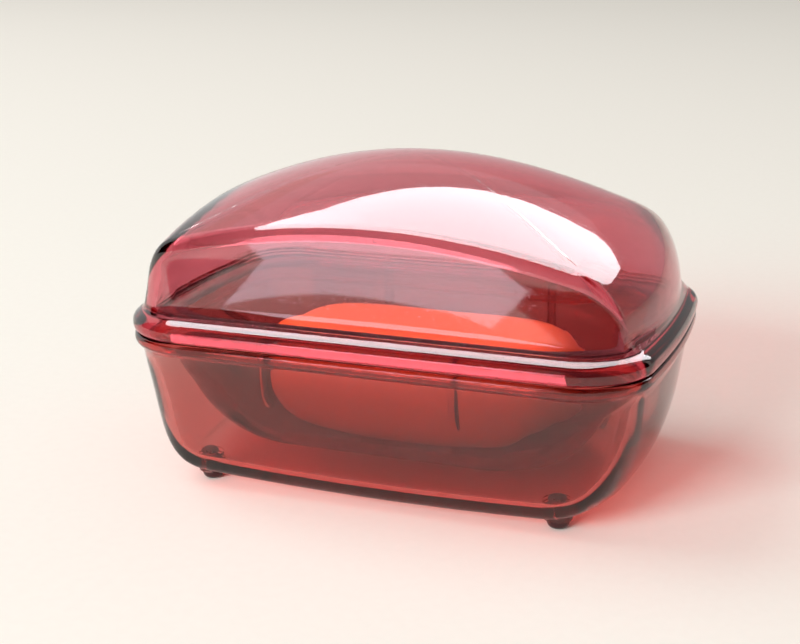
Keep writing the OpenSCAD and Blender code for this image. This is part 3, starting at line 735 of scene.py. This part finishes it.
# Stage, in metres
def stage_mesh(name, pts, mat):
    """One flat face that belongs to the studio and not to the object."""
    me = bpy.data.meshes.new(name)
    me.from_pydata(pts, [], [list(range(len(pts)))])
    me.materials.append(mat)
    ob = bpy.data.objects.new(name, me)
    bpy.context.scene.collection.objects.link(ob)
    return ob


def paper_floor():
    """Plain cream paper, matt."""
    mat, t = new_material("cream_paper_floor")
    at = add(t, "ShaderNodeTexCoord").outputs["Object"]
    # Paper fibres of 2.5 mm
    tooth = add(t, "ShaderNodeTexNoise", {"Vector": at, "Scale": 1 / (2.5 * MM), "Detail": 2.0})
    colour = add(t, "ShaderNodeMix", {0: tooth, 6: srgb("#F8F4EC"), 7: srgb("#F5F0E8")}, data_type="RGBA")
    body = add(t, "ShaderNodeBsdfPrincipled", {"Base Color": colour.outputs[2], "Roughness": 0.6,
                                               "Specular IOR Level": 0.0})
    add(t, "ShaderNodeOutputMaterial", {"Surface": body})
    return mat


def studio_room():
    """The camera, the gloss and the clear plastic see a pale backdrop, and light that has touched
    something matt sees a dimmer room."""
    world = bpy.data.worlds.new("studio_room")
    bpy.context.scene.world = world
    world.use_nodes = True
    t = world.node_tree
    t.nodes.clear()
    path = add(t, "ShaderNodeLightPath").outputs
    some = add(t, "ShaderNodeMath", {0: path["Is Camera Ray"], 1: path["Is Transmission Ray"]},
               operation="ADD", use_clamp=True)
    seen = add(t, "ShaderNodeMath", {0: some, 1: path["Is Glossy Ray"]}, operation="ADD", use_clamp=True)
    fresh = add(t, "ShaderNodeMath", {0: path["Diffuse Depth"], 1: 0.5}, operation="LESS_THAN")
    shown = add(t, "ShaderNodeMath", {0: seen, 1: fresh}, operation="MULTIPLY")
    room = add(t, "ShaderNodeBackground", {"Color": srgb("#FFFEFA"), "Strength": ROOM_LEVEL})
    backdrop = add(t, "ShaderNodeBackground", {"Color": srgb("#F7F3EA"), "Strength": 1.0})
    both = add(t, "ShaderNodeMixShader", {0: shown, 1: room, 2: backdrop})
    add(t, "ShaderNodeOutputWorld", {"Surface": both})


def lamp(name, at, size, level):
    """A soft rectangular lamp of the given radiance, aimed at the box. In gloss the cards stand in for
    it."""
    data = bpy.data.lights.new(name, "AREA")
    data.shape = "RECTANGLE"
    data.size, data.size_y = size
    data.energy = level * size[0] * size[1] * pi
    ob = bpy.data.objects.new(name, data)
    bpy.context.scene.collection.objects.link(ob)
    ob.location = at
    ob.rotation_euler = (Vector((0, 0, PARTING_Z * MM)) - Vector(at)).to_track_quat("-Z", "Y").to_euler()
    ob.visible_glossy = ob.visible_camera = False


def card(name, pts, left, right=None, colour="#FFFFFF"):
    """A card that only shows in gloss: its radiance goes from left to right along X, or is even."""
    mat, t = new_material(name + "_light")
    level = left
    if right is not None:
        at = add(t, "ShaderNodeTexCoord").outputs["Object"]
        x = add(t, "ShaderNodeSeparateXYZ", {0: at}).outputs["X"]
        ends = [p[0] for p in pts]
        level = add(t, "ShaderNodeMapRange", {"Value": x, "From Min": min(ends), "From Max": max(ends),
                                              "To Min": left, "To Max": right})
    glow = add(t, "ShaderNodeEmission", {"Color": srgb(colour), "Strength": level})
    add(t, "ShaderNodeOutputMaterial", {"Surface": glow})
    ob = stage_mesh(name, pts, mat)
    ob.visible_camera = ob.visible_diffuse = ob.visible_transmission = ob.visible_shadow = False


def upright(start, end, top):
    """Corners of an upright card over a line on the floor."""
    (x0, y0), (x1, y1) = start, end
    return [(x0, y0, 0), (x1, y1, 0), (x1, y1, top), (x0, y0, top)]


def overhead(near_y, far_y, right_x):
    """Corners of a level card under the ceiling."""
    return [(-SIDE_X, near_y, TOP_Z), (right_x, near_y, TOP_Z), (right_x, far_y, TOP_Z),
            (-SIDE_X, far_y, TOP_Z)]


ROOM_LEVEL, FLOOR_OUT = 0.4, 4
stage_mesh("floor", [(x * FLOOR_OUT, y * FLOOR_OUT, 0) for x, y in ((-1, -1), (1, -1), (1, 1), (-1, 1))],
           paper_floor())
studio_room()
lamp("soft_key", (-2.2, 0.2, 2.4), (2.0, 2.0), 3.2)
lamp("soft_front", (-0.9, -2.0, 0.95), (1.2, 0.8), 19.0)

# Where the cards stand round the box
SIDE_X, WIDE_X, FRONT_Y, BACK_Y, TOP_Z = 1.6, 2.6, -1.2, 2.4, 1.7
# How far back the flags reach on the left, overhead and on the right
VEIL_Y, SHADE_Y, RIGHT_Y = 0.0, 0.5, 1.15
# Black flags round the front keep the gloss deep
card("front_flag", upright((-SIDE_X, FRONT_Y), (SIDE_X, FRONT_Y), TOP_Z), 0.0)
card("right_flag", upright((SIDE_X, FRONT_Y), (SIDE_X, RIGHT_Y), TOP_Z), 0.0)
card("left_flag", upright((-SIDE_X, FRONT_Y), (-SIDE_X, VEIL_Y), TOP_Z), 0.0)
card("top_flag", overhead(FRONT_Y, SHADE_Y, SIDE_X), 0.0)
# Pale light from the back left and a dim room at the back right
card("back_left_sweep", upright((-WIDE_X, BACK_Y), (0, BACK_Y), TOP_Z), 1.5, 0.4)
card("back_right_sweep", upright((0, BACK_Y), (WIDE_X, BACK_Y), TOP_Z), 0.45, 0.3)
card("top_sweep", overhead(SHADE_Y, BACK_Y, WIDE_X), 1.1, 0.4)
card("left_veil", upright((-SIDE_X, VEIL_Y), (-SIDE_X, BACK_Y), TOP_Z * 0.8), 1.0)
# The window overhead, whose far edge runs slantwise over the lid
WINDOW = [(-0.58, -0.26), (0.2, -0.26), (0.85, 0.95), (1.35, 1.6), (1.2, 1.85), (0.4, 1.06), (-0.12, 0.6),
          (-0.45, 0.26), (-0.58, 0.24)]
WINDOW_Z = 0.8
card("window", [(x, y, WINDOW_Z) for x, y in WINDOW], 12.0, 7.5, colour="#FBFBFF")
# A pale sheet in front, mirrored in the lid's front wall
SHEET = [(-0.205, 0.02), (-0.067, 0.02), (-0.02, 0.065), (-0.165, 0.065)]
SHEET_Y = -0.35
card("front_sheet", [(x, SHEET_Y, z) for x, z in SHEET], 5.5, colour="#F4F4FF")

# Camera, as in the photograph
AZIMUTH, ELEVATION, ROLL, DISTANCE = radians(21.1), radians(16.6), radians(0.78), 0.3005
back = Vector((sin(AZIMUTH) * cos(ELEVATION), -cos(AZIMUTH) * cos(ELEVATION), sin(ELEVATION)))
right = Vector((cos(AZIMUTH), sin(AZIMUTH), 0))
up = back.cross(right)
right, up = right * cos(ROLL) - up * sin(ROLL), right * sin(ROLL) + up * cos(ROLL)
cam = bpy.data.objects.new("camera", bpy.data.cameras.new("camera"))
bpy.context.scene.collection.objects.link(cam)
place = Matrix((right, up, back)).transposed().to_4x4()
place.translation = Vector((0, 0, PARTING_Z * MM)) + back * DISTANCE
cam.matrix_world = place
cam.data.sensor_width, cam.data.lens = 36.0, 61.55
cam.data.shift_x, cam.data.shift_y = -0.024, -0.00725
cam.data.clip_start = 0.01
bpy.context.scene.camera = cam

scene = bpy.context.scene
scene.view_settings.view_transform = "Standard"
scene.cycles.max_bounces = 24
scene.cycles.transmission_bounces = 24
scene.cycles.transparent_max_bounces = 32
scene.cycles.glossy_bounces = 8
